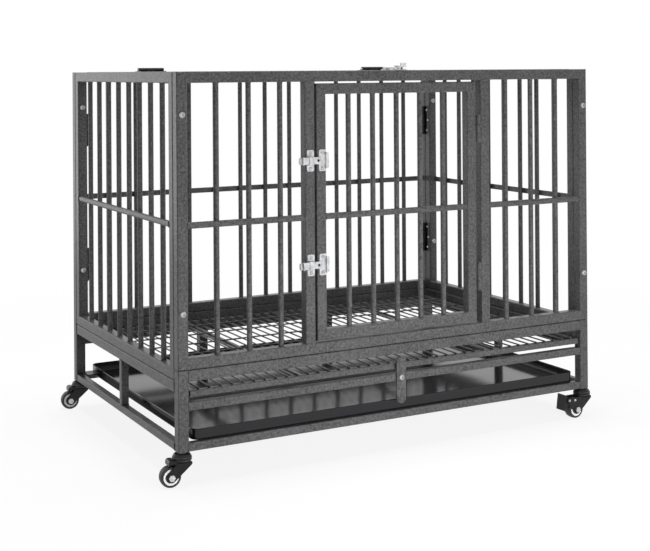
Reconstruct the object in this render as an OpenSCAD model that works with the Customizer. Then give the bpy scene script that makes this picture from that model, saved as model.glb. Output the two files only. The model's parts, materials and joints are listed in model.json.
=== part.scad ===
// Heavy duty dog crate: square tube panels on a wheeled base with a slide-out tray.
// Frame: +X right, +Y to the back, +Z up, origin on the floor under the middle of the panels.

/* [Overall] */
// Width across the outer faces of the side panels
frame_w = 920; // [800:1:1100]
// Depth from the front face to the back face
frame_d = 612; // [520:1:800]
// Height of the panels' top faces above the floor
frame_top = 729; // [650:1:850]

/* [Tubing] */
// Side of the square tube in posts, panels, door and lid
tube = 20; // [19:0.5:24]
// Side of the light square tube in the base
light_tube = 15; // [12:0.5:18]
// Wall of the square tubes
tube_wall = 1.2; // [0.8:0.1:2]
// Outside corner radius of the square tubes
tube_r = 2; // [1:0.25:3]
// Diameter of the upright bars
bar_d = 10; // [7:0.1:11]
// Height of the section of the half-round rods at mid height
rod_h = 11.6; // [8:0.1:14]
// Height of the rods above the front panel's foot
rod_z = 253.5; // [196.5:1:316.5]
// Spacing of the bars in the front and back panels
bar_pitch = 63.75; // [50:0.25:80]
// Gap that the weld bead fills where two members meet
weld_gap = 0.2; // [0.1:0.05:0.4]
// Seam between two panels that are bolted together
seam = 0.8; // [0.3:0.1:1]

/* [Base] */
// Height of the posts' undersides above the floor
caster_h = 60; // [58:1:80]
// Length of the front base posts
post_h = 143; // [130:1:170]
// Thickness of the foot plate in each post
foot_plate = 4; // [2:0.5:8]
// Height of the front mid rail above the posts' undersides
mid_rail_up = 71.5; // [60:0.5:80]
// Height of the back mid rail above the posts' undersides
back_rail_up = 77; // [60:0.5:85]
// Distance of the rear mid posts from the middle
rear_post_x = 162; // [100:1:220]

/* [Front panel and door] */
// Width of the doorway between the mid stiles
doorway = 376; // [330:1:450]
// Sideways place of the doorway's middle
doorway_x = 1.5; // [-10:0.5:10]
// Gap beside the door on the latch side
latch_gap = 4; // [3:0.5:6]
// Gap beside the door on the hinge side
hinge_gap = 12; // [11:0.5:16]
// Gap above and below the door
door_end_gap = 3.5; // [2:0.5:6]
// Bars in the door
door_bar_count = 5; // [3:1:7]

/* [Side panels and lid] */
// Bars in each side panel
side_bar_count = 8; // [5:1:10]
// Distance of a side panel's first bar from its stile
side_bar_edge = 54.5; // [40:0.5:65]
// Bars in the lid
lid_bar_count = 13; // [8:1:16]
// Gap round the lid
lid_gap = 4; // [3.5:0.25:6]
// Height of the lid's top above the panels' tops
lid_rise = 0.5; // [0:0.25:6]
// Width of a lid stop
stop_w = 30; // [15:1:60]
// Thickness of a lid stop
stop_t = 1.8; // [1:0.1:2.5]
// Distance of the lid stops' middle behind the front face
stop_y = 106; // [76:5:206]
// Reach of a lid stop under the lid
stop_grip = 5.8; // [4:0.1:8]

/* [Hinges] */
// Barrel diameter of the hinges
barrel_d = 9; // [7:0.1:10]
// Pin diameter of the hinges
pin_d = 4; // [3:0.1:5]
// Height of a door hinge barrel pair
door_hinge_h = 54; // [40:1:80]
// Height of the lower door hinge's middle above the front panel's foot
door_hinge_low = 113.5; // [56.5:1:176.5]
// Depth of the upper door hinge's middle below the panels' tops
door_hinge_high = 117; // [69:1:189]
// Length of a lid hinge
lid_hinge_l = 60; // [40:1:90]
// Distance of the lid hinges from the middle
lid_hinge_x = 287; // [150:1:360]
// Height of the lid hinges' axis above the lid's top
lid_axis_up = 4; // [3.75:0.25:7]
// Length of a corner hinge
corner_hinge_l = 70; // [50:1:90]
// Height of the lower corner hinges' middles above the front panel's foot
corner_hinge_low = 108.5; // [46.5:1:196.5]
// Depth of the upper corner hinges' middles below the panels' tops
corner_hinge_high = 125; // [69:1:229]
// Width of a hinge leaf measured from its axis
leaf_w = 19; // [14:0.5:20]
// Thickness of hinge leaves
leaf_t = 1.5; // [1:0.1:2]
// Axial gap between hinge knuckles
knuckle_gap = 0.4; // [0.2:0.1:1]
// Radial clearance of a pin or axle that turns in its bore
run_fit = 0.08; // [0.05:0.01:0.1]

/* [Bolts and rivets] */
// Bolt shank diameter
bolt_d = 6; // [4:0.5:7]
// Bolt head diameter
head_d = 11.5; // [9:0.5:14]
// Bolt head height
head_h = 4; // [3:0.25:6]
// Nut width across its flats
nut_af = 10; // [9:0.5:13]
// Nut height
nut_h = 5; // [3:0.5:8]
// Radial clearance of bolt holes
bolt_fit = 0.1; // [0.05:0.05:0.3]
// Height of the lower corner bolts above the front panel's foot
bolt_low = 98.5; // [36.5:1:196.5]
// Depth of the upper corner bolts below the panels' tops
bolt_high = 76; // [39:1:169]
// Rivet head diameter on the latches
rivet_d = 7; // [5:0.25:9]
// Rivet head diameter on the corner hinges
small_rivet_d = 5.6; // [4:0.1:7]
// Rivet head height
rivet_h = 1.8; // [1:0.1:3]

/* [Latches] */
// Height of the lower door latch above the front panel's foot
latch_low = 165; // [76.5:0.5:236.5]
// Depth of the upper door latch below the panels' tops
latch_high = 166.5; // [89:0.5:249]
// Sideways place of the lid latch
lid_latch_x = 2; // [-80:1:80]
// Width of a latch plate
plate_w = 15; // [14:0.25:16]
// Length of a latch plate
plate_l = 40; // [34:1:60]
// Thickness of a latch plate
plate_t = 1.5; // [1:0.1:2]
// Corner radius of a latch plate
plate_r = 3; // [1:0.25:5]
// Diameter of the hole in the tongue
tongue_hole_d = 5; // [3:0.5:7]
// Width of the sliding catch and of the tongue
catch_w = 13; // [9:0.5:15]
// Thickness of the sliding catch
catch_t = 2; // [1.5:0.1:3]
// Thickness of the tongue
tongue_t = 3; // [2:0.25:4]
// Travel of the sliding catch
catch_travel = 10; // [6:0.5:11]
// Height of the finger tab above the catch
tab_h = 6; // [3:0.5:10]
// Clearance between sliding latch parts
slide_fit = 0.3; // [0.2:0.05:0.6]

/* [Floor grid] */
// Side of the grid's frame tube
grid_tube = 12; // [9:0.5:14]
// Height of the grid frame's underside above the floor
grid_z = 154; // [148:0.5:158]
// Gap beside the grid between the posts
grid_gap = 4; // [3:0.5:8]
// Set-back of the grid from the front and back faces
grid_inset = 4; // [2:0.5:10]
// Wire diameter
wire_d = 3; // [2:0.1:4]
// Wire spacing
wire_pitch = 22; // [15:0.5:40]
// Cross wires
cross_wires = 6; // [3:1:10]
// Width of the flat bars under the wires
flat_w = 20; // [12:1:30]
// Thickness of the flat bars
flat_t = 3; // [2:0.25:5]
// Distance of the flat bars from the middle
flat_x = 219; // [120:1:300]
// Width of the runners that carry the grid
runner_w = 17; // [14:0.5:22]
// Thickness of the runners
runner_t = 1.6; // [1:0.1:2]

/* [Tray and turn bar] */
// Gap beside the tray between the posts
tray_gap = 11; // [8:0.5:20]
// Set-back of the tray from the front face
tray_inset = 10; // [6:0.5:12]
// Gap between the tray and the rear mid posts
tray_back_gap = 2; // [1:0.5:6]
// Width of the ledge that carries the tray's back edge
ledge_w = 22; // [15:0.5:40]
// Height of the tray
tray_h = 20; // [14:0.5:30]
// Wall and floor thickness of the tray
tray_t = 1.5; // [1:0.1:3]
// Width of the tray's rolled rim
rim_w = 2; // [1:0.25:4]
// Corner radius of the tray
tray_r = 14; // [8:0.5:30]
// Width of the turn bar
turn_w = 20; // [16:0.5:26]
// Length of the turn bar
turn_l = 90; // [70:1:110]
// Thickness of the turn bar
turn_t = 3; // [2:0.25:5]
// Height of the turn bar's bolt above its middle
turn_up = 5; // [3:0.5:15]
// Sideways place of the turn bar
turn_x = -3; // [-60:1:60]
// Running gap on each side of the turn bar
turn_gap = 0.5; // [0.3:0.1:0.8]

/* [Casters] */
// Wheel diameter
wheel_d = 38; // [34:0.5:39]
// Wheel width
wheel_w = 18; // [14:0.5:22]
// Diameter of the hub inside the tyre
hub_d = 28; // [24:0.5:30]
// Distance of the axle behind the swivel axis
trail = 22; // [19:0.5:26]
// Axle diameter
axle_d = 6; // [4:0.5:8]
// Width of the axle's hex heads across their flats
hex_af = 10.5; // [9:0.5:14]
// Height of the axle's hex heads
hex_h = 3.5; // [2.5:0.25:5]
// Stem diameter
stem_d = 10; // [8:0.5:12]
// Diameter of the flange at the stem's foot
flange_d = 16; // [13:0.5:18]
// Thickness of the flange at the stem's foot
flange_t = 3; // [2:0.25:4]
// Length of thread above the foot plate
stem_over = 10; // [6:0.5:20]
// Width of the stem's nut across its flats
stem_nut_af = 17; // [15:0.5:19]
// Height of the stem's nut
stem_nut_h = 5; // [3.5:0.5:7]
// Clearance round the stem's nut in the swivel head
nut_room = 1.6; // [1:0.1:2]
// Diameter of the swivel head
swivel_d = 35.5; // [30:0.5:40]
// Depth of the fork's crown below the post
fork_drop = 19; // [17:0.5:24]
// Gap between the swivel head and the post
head_gap = 2.5; // [1.5:0.25:5]
// Thickness of the fork's cheeks
cheek_t = 2; // [1.5:0.25:3]
// Gap between wheel and cheek
cheek_gap = 0.8; // [0.5:0.1:1.5]
// Radius of the cheeks round the axle
cheek_r = 9; // [7:0.5:10.5]
// Height of the cheeks' top edge above the crown
crown_h = 4; // [3:0.5:6]
// Length of the hood behind the swivel axis on casters without a brake
hood_l = 34; // [28:0.5:38]
// Height of the hood above the crown
hood_h = 10; // [7:0.5:13]
// Distance of the brake's pin behind the axle
brake_back = 21; // [18:0.5:25]
// Depth of the brake's pin below the post
brake_drop = 20; // [18:0.5:22]
// Margin of the cheeks' ears round the brake's pin
ear_edge = 6; // [4.5:0.25:7]
// Height of the brake pedal
pedal_h = 32; // [28:0.5:34]
// Width of the hub's raised ring
ring_w = 4; // [2:0.25:6]

/* [Hidden] */
$fn = 48;
corner_steps = 3;
half_w = frame_w / 2;
half_d = frame_d / 2;
inner_x = half_w - tube;
inner_y = half_d - tube;
post_top = caster_h + post_h;
panel_foot = post_top - tube;
front_foot = post_top + seam;
front_h = frame_top - front_foot;
side_foot = panel_foot + seam;
side_h = frame_top - side_foot;
side_l = 2 * (inner_y - seam);
bar_y = tube / 2;
rod_t = bar_y - bar_d / 2 - weld_gap;
rod_r = 0.85 * rod_t;
rod_level = front_foot + rod_z;
bolt_heights = [front_foot + bolt_low, frame_top - bolt_high];
doorway_left = doorway_x - doorway / 2;
doorway_right = doorway_x + doorway / 2;
door_x0 = doorway_left + latch_gap;
door_w = doorway - latch_gap - hinge_gap;
door_foot = front_foot + tube + door_end_gap;
door_h = front_h - 2 * (tube + door_end_gap);
door_axis_x = door_x0 + door_w + hinge_gap / 2;
door_hinge_heights = [front_foot + door_hinge_low, frame_top - door_hinge_high];
lid_w = 2 * (inner_x - lid_gap);
lid_l = 2 * (inner_y - lid_gap);
lid_top = frame_top + lid_rise;
lid_axis = [inner_y - lid_gap / 2, lid_top + lid_axis_up];
corner_hinge_heights = [front_foot + corner_hinge_low, frame_top - corner_hinge_high];
corner_axis_up = barrel_d / 2 + weld_gap;
latch_heights = [front_foot + latch_low, frame_top - latch_high];
plate_edge = 2;
tongue_plate_edge = 4;
tab_narrow = 1.5;
tab_flare = 0.5;
tongue_lift = 0.8;
tongue_z0 = plate_t + tongue_lift;
tongue_z1 = tongue_z0 + tongue_t;
catch_z0 = tongue_z1 + 2 * slide_fit;
catch_z1 = catch_z0 + catch_t;
guide_l = 8;
guide_wall = 2;
guide_edge = 1;
tip_room = 1.5;
guide_x = guide_edge - plate_edge - plate_w;
tongue_tip = guide_x + guide_l + tip_room;
catch_tip = tongue_tip - slide_fit;
tab_room = 4.8;
catch_l = catch_tip - guide_x + catch_travel + tab_room;
grid_w = 2 * (inner_x - grid_gap);
grid_l = 2 * (half_d - grid_inset) - tube;
grid_y0 = -half_d + grid_inset;
grid_top = grid_z + grid_tube;
bottom_top = caster_h + light_tube;
tray_w = 2 * (inner_x - tray_gap);
tray_l = frame_d - tray_inset - tube - tray_back_gap;
tray_z = bottom_top + weld_gap;
turn_pivot_z = caster_h + mid_rail_up + light_tube / 2;
wheel_r = wheel_d / 2;
fork_z = caster_h - fork_drop;
swivel_h = fork_drop - head_gap;
swivel_r = swivel_d / 2;
cheek_y = wheel_w / 2 + cheek_gap;
cheek_out = cheek_y + cheek_t;
cheek_reach = 0.75 * swivel_r;
hub_fit = 0.1;
// Caster corners as side, end and the angle that the caster stands turned to
casters = [[-1, -1, -5], [1, -1, 2], [-1, 1, -6], [1, 1, -5]];
brake_x = -trail - brake_back;
brake_z = caster_h - brake_drop;

paint = "#5c5d5f";
black_metal = "#1d1d1f";
silver = "#c9cbcd";
tray_black = "#141417";
white_nylon = "#e6e6e2";
rubber = "#2b2b2b";

// Points of a quarter arc of radius r about (cx, cy), starting at angle a0
function quarter(cx, cy, r, a0) =
    [for (i = [0:corner_steps]) [cx + r * cos(a0 + i * 90 / corner_steps),
                                 cy + r * sin(a0 + i * 90 / corner_steps)]];

// Rectangle from the origin to (w, h) with rounded corners
function rounded(w, h, r) = concat(
    quarter(w - r, h - r, r, 0), quarter(r, h - r, r, 90),
    quarter(r, r, r, 180), quarter(w - r, r, r, 270));

// Evenly spread places for n bars between a and b
function spread(n, a, b) = [for (i = [1:n]) a + i * (b - a) / (n + 1)];

// Evenly spread places for n bars, the first at a and the last at b
function span(n, a, b) = [for (i = [0:n - 1]) a + i * (b - a) / (n - 1)];

// Places on the bar pitch between a and b
function on_pitch(a, b) =
    [for (k = [-40:40]) if (k * bar_pitch > a && k * bar_pitch < b) k * bar_pitch];

// Square tube standing on the origin, open at both ends
module tube_z(len, s) {
    difference() {
        linear_extrude(len)
            polygon(rounded(s, s, tube_r));
        translate([tube_wall, tube_wall, -1])
            linear_extrude(len + 2)
                square(s - 2 * tube_wall);
    }
}

// The same tube lying along +X, then along +Y
module tube_x(len, s) {
    rotate([90, 0, 90])
        tube_z(len, s);
}

module tube_y(len, s) {
    rotate([90, 0, 90])
        tube_x(len, s);
}

// Rail of a panel frame with both ends cut to 45 degrees
module mitred_rail(len) {
    cut = weld_gap / 2;
    reach = 1;
    intersection() {
        tube_x(len, tube);
        translate([0, tube + reach, 0])
            rotate([90, 0, 0])
                linear_extrude(tube + 2 * reach)
                    polygon([[cut - reach, -reach], [len - cut + reach, -reach],
                             [len - tube - reach - cut, tube + reach],
                             [tube + reach + cut, tube + reach]]);
    }
}

// Four mitred tubes round a w by h panel: X across, Y inwards from the outer face, Z up
module panel_ring(w, h) {
    for (flip = [0, 1]) {
        translate([0, 0, flip * h])
            mirror([0, 0, flip])
                mitred_rail(w);
        mirror([1, 0, -1])
            translate([0, 0, flip * w])
                mirror([0, 0, flip])
                    mitred_rail(h);
    }
}

// Upright bars of a panel of height h at the places xs
module panel_bars(xs, h) {
    for (x = xs)
        translate([x, bar_y, tube + weld_gap])
            cylinder(d = bar_d, h = h - 2 * (tube + weld_gap));
}

// Half-round rod of a panel between two members at x0 and x1, flat side on the bars
module panel_rod(x0, x1, z) {
    translate([x0 + weld_gap, 0, z - rod_h / 2])
        rotate([90, 0, 90])
            linear_extrude(x1 - x0 - 2 * weld_gap)
                polygon(concat([[rod_t, 0], [rod_t, rod_h]],
                               quarter(rod_r, rod_h - rod_r, rod_r, 90),
                               quarter(rod_r, rod_r, rod_r, 180)));
}

// Places of the panels
module at_front() {
    translate([-half_w, -half_d, front_foot])
        children();
}

module at_back() {
    translate([half_w, half_d, side_foot])
        rotate([0, 0, 180])
            children();
}

module at_left() {
    translate([-half_w, side_l / 2, side_foot])
        rotate([0, 0, -90])
            children();
}

module at_right() {
    translate([half_w, -side_l / 2, side_foot])
        rotate([0, 0, 90])
            children();
}

module at_door() {
    translate([door_x0, -half_d, door_foot])
        children();
}

module at_lid() {
    translate([-lid_w / 2, -lid_l / 2, lid_top])
        rotate([-90, 0, 0])
            children();
}

// Domed head on the plane Z = 0, pointing up
module dome(d, h) {
    ball = (d * d / 4 + h * h) / (2 * h);
    intersection() {
        translate([0, 0, h - ball])
            sphere(r = ball);
        cylinder(d = d, h = h);
    }
}

// Corner bolts run along Y through two stiles: the front ones from the front face,
// the back ones from the inner face of the side panels' back stiles
bolt_grip = 2 * tube + seam;
module at_corner_bolts() {
    for (side = [-1, 1], z = bolt_heights, y = [-half_d, half_d - bolt_grip])
        translate([side * (half_w - tube / 2), y, z])
            rotate([-90, 0, 0])
                children();
}

module bolt_holes() {
    at_corner_bolts()
        translate([0, 0, -1])
            cylinder(r = bolt_d / 2 + bolt_fit, h = bolt_grip + 2);
}

module bolt(grip) {
    mirror([0, 0, 1])
        dome(head_d, head_h);
    cylinder(d = bolt_d, h = grip + nut_h);
}

module nut(af, h, bore_r) {
    difference() {
        cylinder(d = af / cos(30), h = h, $fn = 6);
        translate([0, 0, -1])
            cylinder(r = bore_r, h = h + 2);
    }
}

// Base frame
module base_posts() {
    color(paint)
        for (side = [0, 1], end = [0, 1])
            mirror([side, 0, 0])
                mirror([0, end, 0])
                    translate([-half_w, -half_d, caster_h])
                        base_post(end == 0 ? post_h : post_h - tube);
}

// Post with a foot plate drilled for the caster stem
module base_post(len) {
    tube_z(len, tube);
    difference() {
        translate([tube_wall / 2, tube_wall / 2, 0])
            cube([tube - tube_wall, tube - tube_wall, foot_plate]);
        translate([tube / 2, tube / 2, -1])
            cylinder(r = stem_d / 2 + bolt_fit, h = foot_plate + 2);
    }
}

module base_bottom_rails() {
    long = 2 * (inner_x - weld_gap);
    deep = 2 * (inner_y - weld_gap);
    color(paint)
        for (flip = [0, 1]) {
            mirror([0, flip, 0])
                translate([-long / 2, -half_d, caster_h])
                    tube_x(long, light_tube);
            mirror([flip, 0, 0])
                translate([-half_w, -deep / 2, caster_h])
                    tube_y(deep, light_tube);
        }
}

module base_upper_rails() {
    long = 2 * (inner_x - weld_gap);
    deep = 2 * (inner_y - weld_gap);
    color(paint) {
        translate([-long / 2, -half_d, post_top - tube])
            tube_x(long, tube);
        translate([-long / 2, inner_y, panel_foot - tube])
            tube_x(long, tube);
        for (flip = [0, 1])
            mirror([flip, 0, 0])
                translate([-half_w, -deep / 2, panel_foot - tube])
                    tube_y(deep, tube);
    }
}

module base_mid_rails() {
    long = 2 * (inner_x - weld_gap);
    color(paint) {
        difference() {
            translate([-long / 2, -half_d, caster_h + mid_rail_up])
                tube_x(long, light_tube);
            at_turn_bolt()
                translate([0, 0, -1])
                    cylinder(r = bolt_d / 2 + bolt_fit, h = light_tube + 2);
        }
        translate([-long / 2, half_d - light_tube, caster_h + back_rail_up])
            tube_x(long, light_tube);
    }
}

module base_mid_posts() {
    side_len = panel_foot - tube - bottom_top - 2 * weld_gap;
    rear_len = back_rail_up - light_tube - 2 * weld_gap;
    color(paint)
        for (flip = [0, 1])
            mirror([flip, 0, 0]) {
                translate([-half_w, -light_tube / 2, bottom_top + weld_gap])
                    tube_z(side_len, light_tube);
                translate([rear_post_x - tube / 2, half_d - tube, bottom_top + weld_gap])
                    tube_z(rear_len, tube);
            }
}

// Panels
module front_panel_frame() {
    mid_h = front_h - 2 * (tube + weld_gap);
    color(paint)
        difference() {
            union() {
                at_front()
                    panel_ring(frame_w, front_h);
                for (x = [doorway_left - tube, doorway_right])
                    translate([x, -half_d, front_foot + tube + weld_gap])
                        tube_z(mid_h, tube);
            }
            bolt_holes();
        }
}

// The front bars stand on the pitch to both sides of the doorway
module front_panel_bars() {
    beside = on_pitch(doorway / 2 + tube + bar_d, inner_x - abs(doorway_x) - bar_d);
    middle = half_w + doorway_x;
    xs = concat([for (x = beside) middle - x], [for (x = beside) middle + x]);
    color(paint)
        at_front()
            panel_bars(xs, front_h);
}

module left_panel_frame() {
    color(paint)
        difference() {
            at_left()
                panel_ring(side_l, side_h);
            bolt_holes();
        }
}

side_bar_x = span(side_bar_count, tube + side_bar_edge, side_l - tube - side_bar_edge);
module left_panel_bars() {
    color(paint)
        at_left()
            panel_bars(side_bar_x, side_h);
}

module right_panel_frame() {
    color(paint)
        difference() {
            at_right()
                panel_ring(side_l, side_h);
            bolt_holes();
        }
}

module right_panel_bars() {
    color(paint)
        at_right()
            panel_bars(side_bar_x, side_h);
}

module back_panel_frame() {
    color(paint)
        difference() {
            at_back()
                panel_ring(frame_w, side_h);
            bolt_holes();
        }
}

module back_panel_bars() {
    xs = [for (x = on_pitch(-inner_x + bar_d, inner_x - bar_d)) half_w + x];
    color(paint)
        at_back()
            panel_bars(xs, side_h);
}

module panel_rods() {
    color(paint) {
        at_front() {
            panel_rod(tube, half_w + doorway_left - tube, rod_level - front_foot);
            panel_rod(half_w + doorway_right + tube, frame_w - tube, rod_level - front_foot);
        }
        at_left()
            panel_rod(tube, side_l - tube, rod_level - side_foot);
        at_right()
            panel_rod(tube, side_l - tube, rod_level - side_foot);
        at_back()
            panel_rod(tube, frame_w - tube, rod_level - side_foot);
    }
}

// Bolts: eight through the corners and one that the turn bar hangs on
module at_turn_bolt() {
    translate([turn_x, -half_d, turn_pivot_z])
        rotate([-90, 0, 0])
            children();
}

module frame_bolts() {
    turn_stack = turn_t + 2 * turn_gap;
    color(silver) {
        at_corner_bolts() {
            bolt(bolt_grip);
            translate([0, 0, bolt_grip])
                nut(nut_af, nut_h, bolt_d / 2);
        }
        at_turn_bolt() {
            translate([0, 0, -turn_stack])
                bolt(turn_stack + light_tube);
            translate([0, 0, light_tube])
                nut(nut_af, nut_h, bolt_d / 2);
        }
    }
}

// One leaf of a butt hinge: axis along X at the origin, leaf face drop below the axis.
// The outer leaf lies towards +Y and has the end knuckles, the inner leaf has the middle one
module butt_leaf(len, drop, outer) {
    reach = barrel_d / 2 + knuckle_gap;
    knuckle = len / 3;
    mirror([0, outer ? 0 : 1, 0])
        difference() {
            union() {
                translate([-len / 2, reach, -drop])
                    cube([len, leaf_w - reach, leaf_t]);
                for (k = outer ? [0, 2] : [1])
                    translate([-len / 2 + k * knuckle + knuckle_gap / 2, 0, 0]) {
                        rotate([0, 90, 0])
                            cylinder(d = barrel_d, h = knuckle - knuckle_gap);
                        translate([0, 0, -drop])
                            cube([knuckle - knuckle_gap, reach + leaf_t, drop]);
                    }
            }
            translate([-len / 2 - 1, 0, 0])
                rotate([0, 90, 0])
                    cylinder(r = pin_d / 2 + run_fit, h = len + 2);
        }
}

module butt_pin(len) {
    translate([-len / 2, 0, 0])
        rotate([0, 90, 0])
            cylinder(d = pin_d, h = len);
}

// Hinges in the back corners, on the inner faces of the side and back panels
module at_corner_hinges() {
    for (side = [0, 1], z = corner_hinge_heights)
        mirror([side, 0, 0])
            translate([inner_x - corner_axis_up, inner_y - seam / 2, z])
                rotate([0, -90, 0])
                    children();
}

module corner_hinge_leaves() {
    color(black_metal)
        at_corner_hinges()
            for (outer = [true, false])
                butt_leaf(corner_hinge_l, corner_axis_up, outer);
}

// Three rivets in a zigzag on the leaf that lies on the side panel, as shares of its length and width
module corner_hinge_rivets() {
    zigzag = [[-0.36, 0.55], [0, 0.78], [0.36, 0.55]];
    color(silver)
        at_corner_hinges()
            for (place = zigzag)
                translate([place[0] * corner_hinge_l, -place[1] * leaf_w, leaf_t - corner_axis_up])
                    dome(small_rivet_d, rivet_h);
}

module at_lid_hinges() {
    for (side = [-1, 1])
        translate([side * lid_hinge_x, lid_axis[0], lid_axis[1]])
            children();
}

module lid_hinge_back_leaves() {
    color(black_metal)
        at_lid_hinges()
            butt_leaf(lid_hinge_l, lid_axis_up + lid_rise, true);
}

module lid_hinge_leaves() {
    color(black_metal)
        at_lid_hinges()
            butt_leaf(lid_hinge_l, lid_axis_up, false);
}

// Door hinges: a lower barrel on the mid stile and an upper barrel on the door
module at_door_hinges() {
    for (z = door_hinge_heights)
        translate([door_axis_x, -half_d, z])
            children();
}

// Barrel with the web that is welded to a side face
module hinge_barrel(bore) {
    web_y = 1;
    web_t = 5;
    tall = (door_hinge_h - knuckle_gap) / 2;
    difference() {
        union() {
            cylinder(d = barrel_d, h = tall);
            translate([0, web_y, 0])
                cube([hinge_gap / 2 - weld_gap, web_t, tall]);
        }
        translate([0, 0, -1])
            cylinder(r = pin_d / 2 + bore, h = tall + 2);
    }
}

module door_hinge_sockets() {
    color(black_metal)
        at_door_hinges()
            translate([0, 0, -door_hinge_h / 2])
                hinge_barrel(run_fit);
}

module door_hinge_barrels() {
    color(black_metal)
        at_door_hinges()
            translate([0, 0, knuckle_gap / 2])
                mirror([1, 0, 0])
                    hinge_barrel(run_fit);
}

module hinge_pins() {
    color(silver) {
        at_corner_hinges()
            butt_pin(corner_hinge_l);
        at_lid_hinges()
            butt_pin(lid_hinge_l);
        at_door_hinges()
            translate([0, 0, -door_hinge_h / 2])
                cylinder(d = pin_d, h = door_hinge_h);
    }
}

// Angle tabs on the side panels' top rails that the closed lid comes down on
module lid_stops() {
    foot_l = lid_gap + stop_grip;
    foot_z = lid_top - tube - weld_gap - stop_t;
    color(paint)
        for (side = [0, 1])
            mirror([side, 0, 0])
                translate([inner_x, stop_y - half_d - stop_w / 2, foot_z]) {
                    translate([-foot_l, 0, 0])
                        cube([foot_l, stop_w, stop_t]);
                    translate([-stop_t, 0, 0])
                        cube([stop_t, stop_w, frame_top - tube_r - foot_z]);
                }
}

// Latches: X points across the gap to the part that opens, Z outwards from the face
module at_door_latch(z) {
    translate([doorway_left, -half_d, z])
        rotate([90, 0, 0])
            children();
}

module at_lid_latch() {
    translate([lid_latch_x, -inner_y, frame_top])
        rotate([0, 0, 90])
            children();
}

// Flat plate with rounded corners and its lower corner at x
module latch_plate(x) {
    translate([x, -plate_l / 2, 0])
        linear_extrude(plate_t)
            polygon(rounded(plate_w, plate_l, plate_r));
}

// Plate on the fixed member with the guide that the catch slides in
module keeper(step) {
    guide_w = catch_w + 2 * guide_wall;
    guide_top = step + catch_z1 + plate_t;
    latch_plate(-plate_edge - plate_w);
    difference() {
        translate([guide_x, -guide_w / 2, plate_t / 2])
            cube([guide_l, guide_w, guide_top - plate_t / 2]);
        translate([guide_x - 1, -catch_w / 2 - slide_fit, step + catch_z0 - slide_fit])
            cube([guide_l + 2, catch_w + 2 * slide_fit, catch_t + 2 * slide_fit]);
    }
}

// Sliding catch with its finger tab bent outwards
module catch_bar(step) {
    tab_x = catch_tip - catch_l;
    translate([tab_x, -catch_w / 2, step + catch_z0])
        cube([catch_l, catch_w, catch_t]);
    translate([tab_x, 0, step + catch_z1 - catch_t / 2])
        rotate([90, 0, 90])
            linear_extrude(catch_t)
                polygon([[-catch_w / 2 + tab_narrow, 0], [catch_w / 2 - tab_narrow, 0],
                         [catch_w / 2 + tab_flare, tab_h + catch_t / 2],
                         [-catch_w / 2 - tab_flare, tab_h + catch_t / 2]]);
}

// Plate on the part that opens, with the tongue that the catch holds
module tongue(gap, step) {
    plate_x = gap + tongue_plate_edge;
    strap_end = plate_x + plate_w / 2;
    block_edge = 1;
    flange_l = 0.76 * plate_l;
    translate([0, 0, step]) {
        latch_plate(plate_x);
        difference() {
            translate([tongue_tip, -catch_w / 2, tongue_z0])
                cube([strap_end - tongue_tip, catch_w, tongue_t]);
            translate([gap + 1, 0, 0])
                cylinder(d = tongue_hole_d, h = tongue_z1 + 1);
        }
        translate([plate_x + block_edge, -catch_w / 2, plate_t / 2])
            cube([plate_w / 2 - block_edge, catch_w, tongue_z1 - plate_t / 2]);
        translate([plate_x + plate_w - plate_t, -flange_l / 2, 0])
            cube([plate_t, flange_l, tongue_z1]);
    }
}

module plate_rivets(x, z) {
    rivet_edge = 2;
    for (end = [-1, 1])
        translate([x + plate_w / 2, end * (plate_l / 2 - rivet_d / 2 - rivet_edge), z + plate_t])
            dome(rivet_d, rivet_h);
}

module latch_plates() {
    color(silver) {
        for (z = latch_heights)
            at_door_latch(z)
                keeper(0);
        at_lid_latch()
            keeper(lid_rise);
    }
}

module latch_rivets() {
    color(silver) {
        for (z = latch_heights)
            at_door_latch(z)
                plate_rivets(-plate_edge - plate_w, 0);
        at_lid_latch()
            plate_rivets(-plate_edge - plate_w, 0);
    }
}

module door_latch_tongues() {
    color(silver)
        for (z = latch_heights)
            at_door_latch(z)
                tongue(latch_gap, 0);
}

module door_latch_rivets() {
    color(silver)
        for (z = latch_heights)
            at_door_latch(z)
                plate_rivets(latch_gap + tongue_plate_edge, 0);
}

module lid_latch_tongue() {
    color(silver)
        at_lid_latch() {
            tongue(lid_gap, lid_rise);
            plate_rivets(lid_gap + tongue_plate_edge, lid_rise);
        }
}

module door_catch_lower() {
    color(silver)
        at_door_latch(latch_heights[0])
            catch_bar(0);
}

module door_catch_upper() {
    color(silver)
        at_door_latch(latch_heights[1])
            catch_bar(0);
}

module lid_catch() {
    color(silver)
        at_lid_latch()
            catch_bar(lid_rise);
}

// Door
module door_frame() {
    color(paint)
        at_door()
            panel_ring(door_w, door_h);
}

module door_bars() {
    color(paint)
        at_door()
            panel_bars(spread(door_bar_count, tube, door_w - tube), door_h);
}

module door_rod() {
    color(paint)
        at_door()
            panel_rod(tube, door_w - tube, rod_level - door_foot);
}

// Lid
module lid_frame() {
    color(paint)
        at_lid()
            panel_ring(lid_w, lid_l);
}

module lid_bars() {
    color(paint)
        at_lid() {
            panel_bars(spread(lid_bar_count, tube, lid_w - tube), lid_l);
            panel_rod(tube, lid_w - tube, lid_l / 2);
        }
}

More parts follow.
